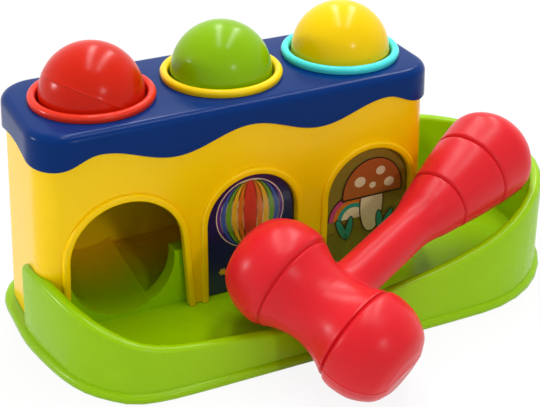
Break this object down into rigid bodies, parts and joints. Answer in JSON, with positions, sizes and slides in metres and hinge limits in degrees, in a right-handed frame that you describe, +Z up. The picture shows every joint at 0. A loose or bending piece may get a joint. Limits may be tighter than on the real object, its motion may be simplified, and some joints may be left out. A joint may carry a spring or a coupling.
{
  "type": "pounding toy",
  "caption": "Moulded plastic pounding toy: balls held in rings on a house with arches drop through onto a run and roll out to a rimmed tray, with a loose hammer.",
  "frame": {"origin": "middle of the bottom of the box around the whole set, at the level of the ground", "axes": "+Z up, +X along the row of balls away from the ball outlet, +Y from the house's front to its back"},
  "size_m": [0.2644, 0.1752, 0.131],
  "materials": {
    "green_plastic": "gloss moulded polypropylene",
    "yellow_plastic": "gloss moulded ABS",
    "blue_plastic": "gloss moulded ABS",
    "red_ring": "gloss moulded polypropylene",
    "yellow_ring": "gloss moulded polypropylene",
    "turquoise_ring": "gloss moulded polypropylene",
    "grip_rubber": "matt thermoplastic elastomer",
    "red_ball": "satin blow-moulded polyethylene",
    "green_ball": "satin blow-moulded polyethylene",
    "yellow_ball": "satin blow-moulded polyethylene",
    "clear_plastic": "clear polystyrene",
    "printed_film": "printed vinyl film",
    "red_hammer": "satin blow-moulded polyethylene",
    "screw_steel": "zinc-plated"
  },
  "bodies": {
    "toy": {"tray_base": "green_plastic", "house_shell": "yellow_plastic", "lid": "blue_plastic", "ball_run": "green_plastic", "ring_left": "red_ring", "ring_middle": "yellow_ring", "ring_right": "turquoise_ring", "grip_left": "grip_rubber", "grip_middle": "grip_rubber", "grip_right": "grip_rubber", "pane_middle": "clear_plastic", "pane_right": "clear_plastic", "label_middle": "printed_film", "label_right": "printed_film", "base_screw_1": "screw_steel", "lid_screw_1": "screw_steel", "base_screw_2": "screw_steel", "lid_screw_2": "screw_steel", "base_screw_3": "screw_steel", "lid_screw_3": "screw_steel", "base_screw_4": "screw_steel", "lid_screw_4": "screw_steel"},
    "ball_left": {"ball_left": "red_ball"},
    "ball_middle": {"ball_middle": "green_ball"},
    "ball_right": {"ball_right": "yellow_ball"},
    "hammer": {"hammer": "red_hammer"}
  },
  "joints": [
    {"name": "ball_left_drop", "type": "slide", "parent": "toy", "child": "ball_left", "axis": [0, 0, 1], "range_m": [-0.0718, 0.06], "deforming": ["grip_left"]},
    {"name": "ball_middle_drop", "type": "slide", "parent": "toy", "child": "ball_middle", "axis": [0, 0, 1], "range_m": [-0.0686, 0.06], "deforming": ["grip_middle"]},
    {"name": "ball_right_drop", "type": "slide", "parent": "toy", "child": "ball_right", "axis": [0, 0, 1], "range_m": [-0.0531, 0.06], "deforming": ["grip_right"]},
    {"name": "hammer_lift", "type": "slide", "parent": "toy", "child": "hammer", "axis": [0, -0.42, 0.9075], "range_m": [0, 0.15]}
  ]
}
